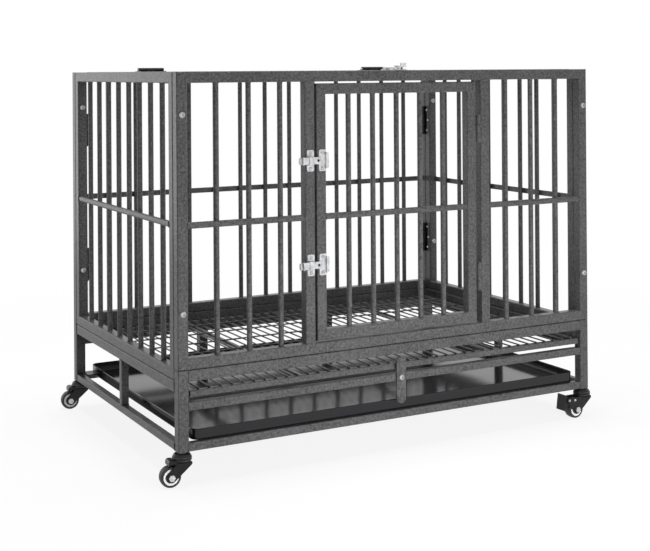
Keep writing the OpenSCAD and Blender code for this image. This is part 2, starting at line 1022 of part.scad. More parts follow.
// Angles welded to the base: two runners under the grid and a ledge under the tray's back edge
module support_angles() {
    deep = 2 * (inner_y - weld_gap);
    long = 2 * (inner_x - weld_gap);
    runner_top = grid_z - weld_gap;
    color(paint) {
        for (flip = [0, 1])
            mirror([flip, 0, 0])
                translate([-inner_x, -deep / 2, runner_top - runner_t]) {
                    cube([runner_w, deep, runner_t]);
                    cube([runner_t, deep, panel_foot - tube_r - runner_top + runner_t]);
                }
        translate([-long / 2, half_d - light_tube - ledge_w, bottom_top - runner_t])
            cube([long, ledge_w, runner_t]);
        translate([-long / 2, half_d - light_tube - runner_t, caster_h + tube_r])
            cube([long, runner_t, light_tube - tube_r]);
    }
}

// Floor grid
module grid_frame() {
    side_len = grid_l - 2 * (grid_tube + weld_gap);
    color(paint) {
        for (y = [grid_y0, grid_y0 + grid_l - grid_tube])
            translate([-grid_w / 2, y, grid_z])
                tube_x(grid_w, grid_tube);
        for (x = [-grid_w / 2, grid_w / 2 - grid_tube])
            translate([x, grid_y0 + grid_tube + weld_gap, grid_z])
                tube_y(side_len, grid_tube);
        for (side = [-1, 1])
            translate([side * flat_x - flat_w / 2, grid_y0 + grid_tube + weld_gap, grid_top - flat_t])
                cube([flat_w, side_len, flat_t]);
    }
}

module grid_wires() {
    along = floor((grid_w - 2 * grid_tube) / wire_pitch / 2);
    wire_z = grid_top + wire_d / 2 + weld_gap / 2;
    cross_z = wire_z + wire_d + weld_gap / 2;
    color(paint) {
        for (k = [-along:along])
            translate([k * wire_pitch, grid_y0 + 1, wire_z])
                rotate([-90, 0, 0])
                    cylinder(d = wire_d, h = grid_l - 2);
        for (y = spread(cross_wires, grid_y0, grid_y0 + grid_l))
            translate([-grid_w / 2 + grid_tube / 2, y, cross_z])
                rotate([0, 90, 0])
                    cylinder(d = wire_d, h = grid_w - grid_tube);
    }
}

// Tray with a rolled rim, open at the top
module tray() {
    wall_w = tray_w - 2 * rim_w;
    wall_l = tray_l - 2 * rim_w;
    color(tray_black)
        translate([-tray_w / 2, -half_d + tray_inset, tray_z])
            difference() {
                union() {
                    translate([rim_w, rim_w, 0])
                        linear_extrude(tray_h)
                            polygon(rounded(wall_w, wall_l, tray_r - rim_w));
                    translate([0, 0, tray_h - rim_w])
                        linear_extrude(rim_w)
                            polygon(rounded(tray_w, tray_l, tray_r));
                }
                translate([rim_w + tray_t, rim_w + tray_t, tray_t])
                    linear_extrude(tray_h)
                        polygon(rounded(wall_w - 2 * tray_t, wall_l - 2 * tray_t,
                                        tray_r - rim_w - tray_t));
            }
}

// Bar with round ends that hangs on its bolt and blocks the tray and the grid
module turn_bar() {
    straight = turn_l - turn_w;
    color(paint)
        translate([turn_x, -half_d - turn_gap, turn_pivot_z - turn_up])
            rotate([90, 0, 0])
                difference() {
                    linear_extrude(turn_t)
                        union() {
                            square([turn_w, straight], center = true);
                            for (end = [-1, 1])
                                translate([0, end * straight / 2])
                                    circle(d = turn_w);
                        }
                    translate([0, turn_up, -1])
                        cylinder(r = bolt_d / 2 + run_fit, h = turn_t + 2);
                }
}

// Casters: the swivel axis is the post's middle line, and the axle trails along -X of the caster
module at_caster(i) {
    corner = casters[i];
    translate([corner[0] * (half_w - tube / 2), corner[1] * (half_d - tube / 2), 0])
        rotate([0, 0, corner[2]])
            children();
}

module at_wheel(i) {
    at_caster(i)
        translate([-trail, 0, wheel_r])
            rotate([-90, 0, 0])
                children();
}

// Threaded stem with the nut under the post and the flange under the fork
module caster_stems() {
    stem_foot = fork_z - weld_gap - flange_t;
    color(silver)
        for (i = [0:3])
            at_caster(i) {
                translate([0, 0, stem_foot]) {
                    cylinder(d = flange_d, h = flange_t);
                    cylinder(d = stem_d, h = caster_h + foot_plate + stem_over - stem_foot);
                }
                translate([0, 0, caster_h - stem_nut_h])
                    cylinder(d = stem_nut_af / cos(30), h = stem_nut_h, $fn = 6);
            }
}

// Fork outlines beside the wheel: X along the caster, Y up
module cheek_outline() {
    hull() {
        translate([-cheek_reach, fork_z])
            square([2 * cheek_reach, crown_h]);
        translate([-trail, wheel_r])
            circle(r = cheek_r, $fn = 32);
    }
}

// Ear on the cheek of a caster that has a brake
module ear_outline() {
    polygon([[-cheek_reach, fork_z + crown_h], [brake_x - ear_edge, brake_z + ear_edge],
             [brake_x - ear_edge, brake_z - ear_edge], [-trail - cheek_r, wheel_r + cheek_r / 2],
             [-trail, wheel_r]]);
}

// Hood over the wheel of a caster that has no brake
module hood_outline() {
    lip_h = 0.3 * hood_h;
    lip_t = 0.3 * hood_h;
    polygon([[-cheek_reach, fork_z], [-cheek_reach, fork_z + hood_h], [-hood_l, fork_z + hood_h],
             [-hood_l, fork_z - lip_h], [-hood_l + lip_t, fork_z - lip_h], [-hood_l + 2 * lip_t, fork_z]]);
}

// Swivel head as shares of its radius and height, with a recess for the stem's nut
module swivel_head() {
    recess_r = stem_nut_af / cos(30) / 2 + nut_room;
    recess_z = caster_h - stem_nut_h - nut_room;
    shape = [[0, 0], [1, 0], [1, 0.3], [0.97, 0.55], [0.89, 0.8], [0.78, 0.96], [0.74, 1], [0, 1]];
    difference() {
        translate([0, 0, fork_z])
            rotate_extrude()
                polygon([for (p = shape) [p[0] * swivel_r, p[1] * swivel_h]]);
        translate([0, 0, recess_z])
            cylinder(r = recess_r, h = caster_h);
    }
}

module fork(i, braked) {
    color(black_metal)
        at_caster(i)
            difference() {
                union() {
                    swivel_head();
                    for (side = [0, 1])
                        mirror([0, side, 0])
                            translate([0, cheek_out, 0])
                                rotate([90, 0, 0])
                                    linear_extrude(cheek_t) {
                                        cheek_outline();
                                        if (braked)
                                            ear_outline();
                                    }
                    if (!braked)
                        translate([0, cheek_out, 0])
                            rotate([90, 0, 0])
                                linear_extrude(2 * cheek_out)
                                    hood_outline();
                }
                translate([0, 0, fork_z - 1])
                    cylinder(r = stem_d / 2 + run_fit, h = swivel_h + 2);
                translate([-trail, 0, wheel_r])
                    rotate([90, 0, 0])
                        cylinder(r = axle_d / 2 + bolt_fit, h = 4 * wheel_w, center = true);
                if (braked)
                    translate([brake_x, 0, brake_z])
                        rotate([90, 0, 0])
                            cylinder(r = pin_d / 2 + run_fit, h = 4 * wheel_w, center = true);
            }
}

// Axle bolt with a hex head outside each cheek
module axle(i) {
    reach = cheek_out + weld_gap;
    color(silver)
        at_wheel(i) {
            translate([0, 0, -reach])
                cylinder(d = axle_d, h = 2 * reach);
            for (end = [0, 1])
                mirror([0, 0, end])
                    translate([0, 0, reach])
                        cylinder(d = hex_af / cos(30), h = hex_h, $fn = 6);
        }
}

// Hub with a raised ring round its boss
module hub(i) {
    inset = wheel_w / 30;
    deep = wheel_w / 9;
    slope = deep / 4;
    rim = hub_d / 2 - hub_fit;
    ring = rim - ring_w;
    half = wheel_w / 2 - inset;
    dish = half - deep;
    bore = axle_d / 2 + run_fit;
    boss = axle_d / 2 + deep;
    color(white_nylon)
        at_wheel(i)
            rotate_extrude()
                polygon([[bore, -half], [boss, -half], [boss + slope, -dish], [ring - slope, -dish],
                         [ring, -half], [rim, -half], [rim, half], [ring, half],
                         [ring - slope, dish], [boss + slope, dish], [boss, half], [bore, half]]);
}

module tyre(i) {
    shoulder = 3;
    half = wheel_w / 2;
    color(rubber)
        at_wheel(i)
            rotate_extrude()
                polygon(concat(
                    [[hub_d / 2, half], [hub_d / 2, -half]],
                    [for (p = quarter(wheel_r - shoulder, -half + shoulder, shoulder, 270)) p],
                    [for (p = quarter(wheel_r - shoulder, half - shoulder, shoulder, 0)) p]));
}

// Brake pedal on a pin through the fork's ears, with a nose that nears the tyre when pressed.
// Its arm and its flap are drawn as shares of the pedal's height
module brake(i) {
    arm = [[0.06, 0.12], [-0.28, 0.375], [-0.37, 0.375], [-0.46, -0.375], [-0.31, -0.5],
           [0.045, -0.344], [0.12, 0]];
    flap = [[-0.28, 0.375], [-0.375, 0.375], [-0.5, -0.595], [-0.41, -0.625]];
    color(black_metal)
        at_caster(i)
            translate([brake_x, 0, brake_z])
                rotate([90, 0, 0]) {
                    cylinder(d = pin_d, h = 2 * cheek_out, center = true);
                    linear_extrude(2 * (cheek_y - slide_fit), center = true)
                        polygon(pedal_h * arm);
                    linear_extrude(2 * cheek_out, center = true)
                        polygon(pedal_h * flap);
                }
}

base_posts();
base_bottom_rails();
base_upper_rails();
base_mid_rails();
base_mid_posts();
front_panel_frame();
front_panel_bars();
left_panel_frame();
left_panel_bars();
right_panel_frame();
right_panel_bars();
back_panel_frame();
back_panel_bars();
panel_rods();
frame_bolts();
corner_hinge_leaves();
corner_hinge_rivets();
hinge_pins();
lid_stops();
support_angles();
grid_frame();
grid_wires();
door_hinge_sockets();
lid_hinge_back_leaves();
latch_plates();
latch_rivets();
caster_stems();
door_frame();
door_bars();
door_rod();
door_hinge_barrels();
door_latch_tongues();
door_latch_rivets();
lid_frame();
lid_bars();
lid_hinge_leaves();
lid_latch_tongue();
door_catch_lower();
door_catch_upper();
lid_catch();
turn_bar();
tray();
fork(0, false);  // fork_front_left
fork(1, true);  // fork_front_right
fork(2, false);  // fork_back_left
fork(3, true);  // fork_back_right
axle(0);  // axle_front_left
axle(1);  // axle_front_right
axle(2);  // axle_back_left
axle(3);  // axle_back_right
hub(0);  // hub_front_left
hub(1);  // hub_front_right
hub(2);  // hub_back_left
hub(3);  // hub_back_right
tyre(0);  // tyre_front_left
tyre(1);  // tyre_front_right
tyre(2);  // tyre_back_left
tyre(3);  // tyre_back_right
brake(1);  // brake_front_right
brake(3);  // brake_back_right
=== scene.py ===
"""Heavy duty dog crate: finishes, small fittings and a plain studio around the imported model."""
import json
import math

import bmesh
import bpy
import numpy as np
from mathutils import Matrix, Vector


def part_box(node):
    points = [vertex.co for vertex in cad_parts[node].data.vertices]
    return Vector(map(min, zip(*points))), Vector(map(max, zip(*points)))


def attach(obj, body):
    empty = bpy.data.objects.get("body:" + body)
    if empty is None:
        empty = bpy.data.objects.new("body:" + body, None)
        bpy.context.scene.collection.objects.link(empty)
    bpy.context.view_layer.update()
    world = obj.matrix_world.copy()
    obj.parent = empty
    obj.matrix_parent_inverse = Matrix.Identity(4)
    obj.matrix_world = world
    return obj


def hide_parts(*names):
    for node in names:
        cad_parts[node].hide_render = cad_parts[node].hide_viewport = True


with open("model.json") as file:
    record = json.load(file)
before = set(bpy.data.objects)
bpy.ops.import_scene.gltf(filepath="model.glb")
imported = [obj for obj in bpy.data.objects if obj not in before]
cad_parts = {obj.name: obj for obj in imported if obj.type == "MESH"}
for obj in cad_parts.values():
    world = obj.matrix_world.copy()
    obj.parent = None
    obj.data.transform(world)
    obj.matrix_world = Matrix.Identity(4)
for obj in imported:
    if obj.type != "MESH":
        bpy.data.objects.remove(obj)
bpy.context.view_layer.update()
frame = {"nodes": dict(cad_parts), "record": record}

MM = 0.001
WHITE = "#ffffff"
scene = bpy.context.scene
scene.view_settings.view_transform = "Standard"


# Colours and nodes

def linear(hex_colour):
    """Turns an sRGB hex colour into linear RGBA: each channel c becomes c / 12.92 near black, else
    ((c + 0.055) / 1.055) ** 2.4."""
    parts = [int(hex_colour[i:i + 2], 16) / 255 for i in (1, 3, 5)]
    rgb = [c / 12.92 if c <= 0.04045 else ((c + 0.055) / 1.055) ** 2.4 for c in parts]
    return (*rgb, 1.0)


def per_metre(size_mm):
    """Texture scale that makes one cell of a pattern this many millimetres wide."""
    return 1 / (size_mm * MM)


def add(tree, kind, inputs=None, stops=(), **settings):
    """Adds one shader node: settings are its own properties, inputs its sockets' values or links, and
    stops a colour ramp's places and hex colours."""
    made = tree.nodes.new("ShaderNode" + kind)
    for name, value in settings.items():
        setattr(made, name, value)
    for name, value in (inputs or {}).items():
        socket = made.inputs[name]
        if isinstance(value, bpy.types.NodeSocket):
            tree.links.new(value, socket)
        else:
            socket.default_value = value
    for _ in stops[2:]:
        made.color_ramp.elements.new(1.0)
    for number, (place, colour) in enumerate(stops):
        made.color_ramp.elements[number].position = place
        made.color_ramp.elements[number].color = linear(colour)
    return made


def material(name):
    """An empty node material with its tree, and the object coordinates that its patterns read."""
    made = bpy.data.materials.new(name)
    made.use_nodes = True
    made.node_tree.nodes.clear()
    return made, made.node_tree, add(made.node_tree, "TexCoord").outputs["Object"]


def hammered_enamel():
    """Dark grey hammer enamel, sprayed on steel: small dark specks between paler islands of aluminium
    flake, shallow dimples a few millimetres wide and slow clouds from the spray, under a semi-gloss skin."""
    made, tree, place = material("hammered_enamel")
    speck_mm, dimple_mm, cloud_mm, dimple_deep_mm = 4.2, 3.4, 70.0, 0.3
    specks = add(tree, "TexNoise", {"Vector": place, "Scale": per_metre(speck_mm), "Detail": 2.0,
                                    "Roughness": 0.6})
    dimples = add(tree, "TexVoronoi", {"Vector": place, "Scale": per_metre(dimple_mm), "Smoothness": 0.7},
                  feature="SMOOTH_F1")
    clouds = add(tree, "TexNoise", {"Vector": place, "Scale": per_metre(cloud_mm), "Detail": 2.0})
    drift = add(tree, "MapRange", {"Value": clouds.outputs["Fac"], "To Min": -0.09, "To Max": 0.09})
    tone = add(tree, "Math", {0: specks.outputs["Fac"], 1: drift.outputs["Result"]}, operation="ADD")
    colour = add(tree, "ValToRGB", {"Fac": tone.outputs["Value"]},
                 stops=[(0.3, "#313131"), (0.47, "#484848"), (0.7, "#5c5c5d")])
    gloss = add(tree, "MapRange", {"Value": tone.outputs["Value"], "To Min": 0.38, "To Max": 0.24})
    bump = add(tree, "Bump", {"Height": dimples.outputs["Distance"], "Strength": 0.22,
                              "Distance": dimple_deep_mm * MM})
    skin = add(tree, "BsdfPrincipled", {"Base Color": colour.outputs["Color"], "Specular IOR Level": 0.25,
                                        "Roughness": gloss.outputs["Result"],
                                        "Normal": bump.outputs["Normal"]})
    add(tree, "OutputMaterial", {"Surface": skin.outputs["BSDF"]})
    return made


def black_enamel():
    """Black stoved enamel on pressed steel: near black, semi-gloss, with the faint orange peel of thick
    paint."""
    made, tree, place = material("black_enamel")
    peel_mm, wear_mm, peel_deep_mm = 2.5, 18.0, 0.15
    peel = add(tree, "TexNoise", {"Vector": place, "Scale": per_metre(peel_mm), "Detail": 3.0})
    wear = add(tree, "TexNoise", {"Vector": place, "Scale": per_metre(wear_mm), "Detail": 4.0})
    colour = add(tree, "ValToRGB", {"Fac": wear.outputs["Fac"]},
                 stops=[(0.3, "#0a0a0b"), (0.7, "#161618")])
    gloss = add(tree, "MapRange", {"Value": wear.outputs["Fac"], "To Min": 0.24, "To Max": 0.4})
    bump = add(tree, "Bump", {"Height": peel.outputs["Fac"], "Strength": 0.15,
                              "Distance": peel_deep_mm * MM})
    skin = add(tree, "BsdfPrincipled", {"Base Color": colour.outputs["Color"], "Specular IOR Level": 0.3,
                                        "Roughness": gloss.outputs["Result"],
                                        "Normal": bump.outputs["Normal"]})
    add(tree, "OutputMaterial", {"Surface": skin.outputs["BSDF"]})
    return made


def zinc(name, dark, pale, edge, patch_mm):
    """Zinc plate on steel: cloudy patches between a dark and a pale grey and fine drawing lines, with the
    edge colour as the tint of its grazing gloss; that tint is darker than the plate, a painted dark
    reflection along the edges."""
    made, tree, place = material(name)
    line_mm, line_deep_mm = 1.2, 0.1
    clouds = add(tree, "TexNoise", {"Vector": place, "Scale": per_metre(patch_mm), "Detail": 4.0})
    lines = add(tree, "TexNoise", {"Vector": place, "Scale": per_metre(line_mm), "Detail": 2.0})
    colour = add(tree, "ValToRGB", {"Fac": clouds.outputs["Fac"]}, stops=[(0.3, dark), (0.7, pale)])
    gloss = add(tree, "MapRange", {"Value": clouds.outputs["Fac"], "To Min": 0.26, "To Max": 0.42})
    bump = add(tree, "Bump", {"Height": lines.outputs["Fac"], "Strength": 0.12,
                              "Distance": line_deep_mm * MM})
    skin = add(tree, "BsdfPrincipled", {"Base Color": colour.outputs["Color"], "Metallic": 0.75,
                                        # Darker edge tint: painted dark reflection at grazing angles
                                        "Specular Tint": linear(edge),
                                        "Roughness": gloss.outputs["Result"],
                                        "Normal": bump.outputs["Normal"]})
    add(tree, "OutputMaterial", {"Surface": skin.outputs["BSDF"]})
    return made


def gloss_tray_enamel():
    """Glossy black enamel on a pressed sheet tray: a dark, slightly soft mirror with slow waves in the
    sheet."""
    made, tree, place = material("gloss_tray_enamel")
    wave_mm, dust_mm, wave_deep_mm = 140.0, 3.0, 1.5
    waves = add(tree, "TexNoise", {"Vector": place, "Scale": per_metre(wave_mm), "Detail": 1.0})
    dust = add(tree, "TexNoise", {"Vector": place, "Scale": per_metre(dust_mm), "Detail": 3.0})
    colour = add(tree, "ValToRGB", {"Fac": dust.outputs["Fac"]},
                 stops=[(0.3, "#0b0b0e"), (0.75, "#141418")])
    gloss = add(tree, "MapRange", {"Value": dust.outputs["Fac"], "To Min": 0.08, "To Max": 0.15})
    bump = add(tree, "Bump", {"Height": waves.outputs["Fac"], "Strength": 0.35,
                              "Distance": wave_deep_mm * MM})
    skin = add(tree, "BsdfPrincipled", {"Base Color": colour.outputs["Color"], "Specular IOR Level": 0.4,
                                        "Roughness": gloss.outputs["Result"],
                                        "Normal": bump.outputs["Normal"]})
    add(tree, "OutputMaterial", {"Surface": skin.outputs["BSDF"]})
    return made


def moulded_nylon():
    """White moulded nylon: a soft satin white, a little translucent, with faint flow marks."""
    made, tree, place = material("moulded_nylon")
    flow_mm, glow_deep_mm = 8.0, 2
    flow = add(tree, "TexNoise", {"Vector": place, "Scale": per_metre(flow_mm), "Detail": 3.0})
    colour = add(tree, "ValToRGB", {"Fac": flow.outputs["Fac"]},
                 stops=[(0.3, "#e4e4e1"), (0.7, "#f4f4f2")])
    gloss = add(tree, "MapRange", {"Value": flow.outputs["Fac"], "To Min": 0.35, "To Max": 0.5})
    skin = add(tree, "BsdfPrincipled", {"Base Color": colour.outputs["Color"],
                                        "Roughness": gloss.outputs["Result"],
                                        "Subsurface Weight": 0.1, "Subsurface Scale": glow_deep_mm * MM})
    add(tree, "OutputMaterial", {"Surface": skin.outputs["BSDF"]})
    return made


def tyre_rubber():
    """Dark grey wheel rubber, moulded: matt, a little paler where it has rubbed on the floor."""
    made, tree, place = material("tyre_rubber")
    scuff_mm, scuff_deep_mm = 5.0, 0.2
    scuff = add(tree, "TexNoise", {"Vector": place, "Scale": per_metre(scuff_mm), "Detail": 5.0})
    colour = add(tree, "ValToRGB", {"Fac": scuff.outputs["Fac"]},
                 stops=[(0.3, "#1b1b1c"), (0.7, "#2c2c2d")])
    gloss = add(tree, "MapRange", {"Value": scuff.outputs["Fac"], "To Min": 0.45, "To Max": 0.65})
    bump = add(tree, "Bump", {"Height": scuff.outputs["Fac"], "Strength": 0.2,
                              "Distance": scuff_deep_mm * MM})
    skin = add(tree, "BsdfPrincipled", {"Base Color": colour.outputs["Color"],
                                        "Roughness": gloss.outputs["Result"],
                                        "Normal": bump.outputs["Normal"]})
    add(tree, "OutputMaterial", {"Surface": skin.outputs["BSDF"]})
    return made


# The record's slots, and two duller kinds of zinc for small fittings; the one for rivets and bolts is the
# bright zinc drawn darker as painted shade on their small heads
FINISHES = {
    "hammered_paint": hammered_enamel(),
    "black_steel": black_enamel(),
    "zinc_plate": zinc("bright_zinc", "#b2b3b5", "#dededf", "#77787a", 9.0),
    # Rivets and bolt heads: a darker copy of the bright zinc, as painted shade
    "rivet_zinc_painted_shade": zinc("rivet_zinc_painted_shade", "#a2a3a5", "#d2d3d4", "#5c5d5f", 3.0),
    "dull_zinc": zinc("dull_zinc", "#3a3b3d", "#66676a", "#2a2b2c", 6.0),
    "tray_gloss": gloss_tray_enamel(),
    "white_nylon": moulded_nylon(),
    "tyre_rubber": tyre_rubber(),
}
# Nodes that look unlike the rest of their slot
OTHER_FINISH = {"caster_stems": "dull_zinc", "door_hinge_barrels": "hammered_paint",
                "door_hinge_sockets": "hammered_paint"}
slot_of = {part["node"]: part["material_slot"] for part in frame["record"]["subparts"]}
for node_name, node_object in frame["nodes"].items():
    node_object.data.materials.clear()
    node_object.data.materials.append(FINISHES[OTHER_FINISH.get(node_name, slot_of[node_name])])


# Shapes, in millimetres

def round_turn(count):
    """Angles of equal steps once round."""
    return np.linspace(0, 2 * np.pi, count, endpoint=False)


def lathe(profile, sides):
    """Rings of a turned form: each pair of radius and height goes round Z in equal steps."""
    radius, height = np.array(profile, float).T
    turn = round_turn(sides)
    return np.stack([radius[:, None] * np.cos(turn), radius[:, None] * np.sin(turn),
                     np.repeat(height[:, None], sides, axis=1)], axis=-1)


def hex_lathe(profile, sides=24):
    """A turned form whose rings go from round to hexagonal: radius, height and a share from 0 to 1. A
    hexagon's radius at an angle is its flat's distance over the cosine of the angle from that flat's
    middle."""
    radius, height, share = np.array(profile, float).T
    turn = round_turn(sides)
    flat = np.cos(np.pi / 6) / np.cos((turn + np.pi / 6) % (np.pi / 3) - np.pi / 6)
    reach = radius[:, None] * (1 - share[:, None] * (1 - flat))
    return np.stack([reach * np.cos(turn), reach * np.sin(turn),
                     np.repeat(height[:, None], sides, axis=1)], axis=-1)


def outline(width, length, corner, steps=4):
    """Points round a rectangle with rounded corners, centred on the origin: a quarter circle at each
    corner."""
    turn = np.linspace(0, np.pi / 2, steps + 1)
    turns = (turn[None, :] + np.arange(4)[:, None] * np.pi / 2).ravel()
    middle = np.repeat([[1, 1], [-1, 1], [-1, -1], [1, -1]], steps + 1, axis=0)
    middle = middle * (np.array([width, length]) / 2 - corner)
    return middle + corner * np.stack([np.cos(turns), np.sin(turns)], axis=-1)


def loft(levels, width, length, corner, steps=4):
    """Rings of a pressed form: each pair of inset and height is the outline drawn in by the inset."""
    least_corner = 0.3
    rings = []
    for inset, height in levels:
        flat = outline(width - 2 * inset, length - 2 * inset, max(corner - inset, least_corner), steps)
        rings.append(np.column_stack([flat, np.full(len(flat), height)]))
    return np.stack(rings)


def bead_on(path, normal, thick, sides=6):
    """Weld bead along a closed flat path: a circle of the bead's thickness swept along it, swelling and
    shrinking a little with a sine as the welder's hand does."""
    swell_share, swell_step = 0.18, 2.4
    swell = thick * (1 + swell_share * np.sin(np.arange(len(path)) * swell_step))
    turn = round_turn(sides)
    out = path[:, None, :] + normal[:, None, :] * (swell[:, None] * np.cos(turn))[..., None]
    return np.concatenate([out, (swell[:, None] * np.sin(turn))[..., None]], axis=-1)


def round_bead(radius, thick, steps=12):
    """Weld bead round a bar: a bead along a circle."""
    turn = round_turn(steps)
    normal = np.stack([np.cos(turn), np.sin(turn)], axis=-1)
    return bead_on(radius * normal, normal, thick)


def square_bead(width, length, corner, thick):
    """Weld bead round a tube's end: a bead along a rectangle with rounded corners."""
    path = outline(width, length, corner, 2)
    turn = np.tile(np.linspace(0, np.pi / 2, 3), 4) + np.repeat(np.arange(4) * np.pi / 2, 3)
    return bead_on(path, np.stack([np.cos(turn), np.sin(turn)], axis=-1), thick)


def plate_on(path, low, high, soft):
    """Flat plate across Y with softened edges: a closed path of x and z pairs, drawn towards its middle
    at both faces."""
    inward = path.mean(axis=0) - path
    inward = inward / np.linalg.norm(inward, axis=1, keepdims=True)
    levels = [(soft, low), (0, low + soft), (0, high - soft), (soft, high)]
    return np.stack([np.column_stack([path[:, 0] + inward[:, 0] * inset, np.full(len(path), y),
                                      path[:, 1] + inward[:, 1] * inset]) for inset, y in levels])


def hull_path(circles, top, count=48):
    """Outline round some circles as a belt would lie: at each direction, the point of the circle that
    reaches farthest that way. It is cut flat at the top."""
    turn = round_turn(count)
    normal = np.stack([np.cos(turn), np.sin(turn)], axis=-1)
    circles = np.array(circles, float)
    reach = normal @ circles[:, :2].T + circles[:, 2]
    chosen = circles[reach.argmax(axis=1)]
    path = chosen[:, :2] + chosen[:, 2:] * normal
    return np.column_stack([path[:, 0], np.minimum(path[:, 1], top)])


def at(place, axis=(0, 0, 1)):
    """Place as a 3 by 4 matrix: the form's Z along an axis of the crate, its X as level as it can be."""
    z = np.array(axis, float)
    x = np.array([1.0, 0, 0]) if abs(z[0]) < 0.5 else np.array([0, 1.0, 0])
    return np.column_stack([x, np.cross(z, x), z, np.array(place, float)])


def chain(outer, inner):
    """The inner place carried by the outer one."""
    return np.column_stack([outer[:, :3] @ inner[:, :3], outer[:, :3] @ inner[:, 3] + outer[:, 3]])


def placed(form, places):
    """Copies of a form at each place: turned by the matrix's first three columns, moved by its last."""
    places = np.array(places)
    return np.einsum("kij,uvj->kuvi", places[:, :, :3], form) + places[:, None, None, :, 3]


def piece(name, body, slot, parts, replaced=(), smooth_deg=40, finish=None):
    """Finished object from arrays of shape (shell, ring, point, xyz) in millimetres. Neighbouring rings
    are joined by quads; a shell's end rings are closed by a polygon, or joined up where the part says
    ring. The finish is the slot's own unless another is named."""
    verts, faces = [], []
    for closing, points in parts:
        shells, rings, sides = points.shape[:3]
        index = np.arange(shells * rings * sides).reshape(shells, rings, sides) + sum(map(len, verts))
        verts.append(points.reshape(-1, 3) * MM)
        if closing == "caps":
            faces += index[:, 0, ::-1].tolist() + index[:, -1].tolist()
        else:
            index = np.concatenate([index, index[:, :1]], axis=1)
        beside = np.roll(index, -1, axis=2)
        quads = np.stack([index[:, :-1], beside[:, :-1], beside[:, 1:], index[:, 1:]], axis=-1)
        faces += quads.reshape(-1, 4).tolist()
    mesh = bpy.data.meshes.new(name)
    mesh.from_pydata(np.concatenate(verts).tolist(), [], faces)
    work = bmesh.new()
    work.from_mesh(mesh)
    bmesh.ops.recalc_face_normals(work, faces=work.faces)
    work.to_mesh(mesh)
    work.free()
    mesh.shade_smooth()
    mesh.set_sharp_from_angle(angle=math.radians(smooth_deg))
    mesh.materials.append(FINISHES[finish or slot])
    made = bpy.data.objects.new(name, mesh)
    scene.collection.objects.link(made)
    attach(made, body)
    if replaced:
        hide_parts(*replaced)


# Places on the crate, in millimetres from the middle of the floor under it

SIDES = (-1, 1)
HALF_W, HALF_D, TUBE, LIGHT, BAR, TUBE_R = 460.0, 306.0, 20.0, 15.0, 10.0, 2
INNER_X, INNER_Y = HALF_W - TUBE, HALF_D - TUBE
POST_X, POST_Y = HALF_W - TUBE / 2, HALF_D - TUBE / 2
LIGHT_X, LIGHT_Y = HALF_W - LIGHT / 2, HALF_D - LIGHT / 2
TOP, FRONT_FOOT, SIDE_FOOT, LID_TOP = 729.0, 203.8, 183.8, 729.5
DOORWAY_X, DOORWAY = 1.5, 376.0
DOOR_X0, DOOR_W, DOOR_FOOT, DOOR_TOP, DOOR_BARS = -182.5, 360.0, 227.3, 705.5, 5
HINGE_X, HINGE_Z, HINGE_HALF = 183.5, (317.3, 612.0), 27
LATCH_X, LATCH_Z = DOORWAY_X - DOORWAY / 2, (368.8, 562.5)
LID_LATCH_X, LID_HALF_W, LID_HALF_D, LID_BARS = 2.0, 416, 262, 13
# Front and back bars stand at these multiples of the pitch from the doorway's and the back's middle
BAR_PITCH, FRONT_BARS, BACK_BARS = 63.75, range(4, 7), range(-6, 7)
SIDE_HALF, SIDE_BAR_END, SIDE_BARS = 285.2, 210.7, 8
ROD_Z, ROD_T, ROD_H = 457.3, 4.8, 11.6
BOLT_Z, GRIP = (302.3, 653.0), 40.8
BOTTOM_Z, BOTTOM_TOP = 67.5, 75
FRONT_MID_Z, BACK_MID_Z, BACK_MID_FOOT = 139, 144.5, 137
FRONT_UPPER_Z, UPPER_Z, UPPER_FOOT = 193, 173, 163
REAR_POST_X = 162
TURN_X, TURN_T = -3, 4.0
TRAY_R = 14
STEM_BORE = 5.6
# Each caster's post and how far it stands turned, in degrees
CASTERS = {"front_left": (-POST_X, -POST_Y, -5), "front_right": (POST_X, -POST_Y, 2),
           "back_left": (-POST_X, POST_Y, -6), "back_right": (POST_X, POST_Y, -5)}


def socket_bolts():
    """Button-head bolts with a hex socket, their shanks and chamfered nuts: heads and nuts are turned
    forms with hexagonal rings."""
    head = hex_lathe([(5.75, 0, 0), (5.75, 0.9, 0), (5.45, 2.0, 0), (4.7, 3.1, 0), (3.7, 3.8, 0),
                      (3.1, 4.0, 0), (2.9, 3.95, 0.6), (2.75, 3.6, 1), (2.75, 1.4, 1), (1.2, 1.2, 1)])
    nut = hex_lathe([(4.6, 0, 0.3), (5.77, 0.7, 1), (5.77, 4.3, 1), (4.6, 5.0, 0.3), (3.4, 5.0, 0),
                     (3.1, 4.6, 0)])
    shank_r, tip_r, sunk, past, tip = 3.0, 2.4, 1.0, 4.1, 0.8
    corners = [(x, y, z) for x in (-POST_X, POST_X) for y in (-HALF_D, HALF_D - GRIP) for z in BOLT_Z]
    turn_bolt = [(TURN_X, -HALF_D - TURN_T, FRONT_MID_Z)]
    heads = placed(head, [at(p, (0, -1, 0)) for p in corners + turn_bolt])
    nuts, shanks = [], []
    for bolts, grip in ((corners, GRIP), (turn_bolt, TURN_T + LIGHT)):
        nuts += [at((x, y + grip, z), (0, 1, 0)) for x, y, z in bolts]
        shank = lathe([(shank_r, -sunk), (shank_r, grip + past), (tip_r, grip + past + tip)], 16)
        shanks.append(("caps", placed(shank, [at(p, (0, 1, 0)) for p in bolts])))
    piece("socket_bolts", "root", "zinc_plate", [("caps", heads), ("caps", placed(nut, nuts))] + shanks,
          ["frame_bolts"], finish="rivet_zinc_painted_shade")


def latch_place(z):
    """A door latch's place: X across the gap to the door, Y up, Z outwards from the front face."""
    return np.array([[1, 0, 0, LATCH_X], [0, 0, -1, -HALF_D], [0, 1, 0, z]], float)


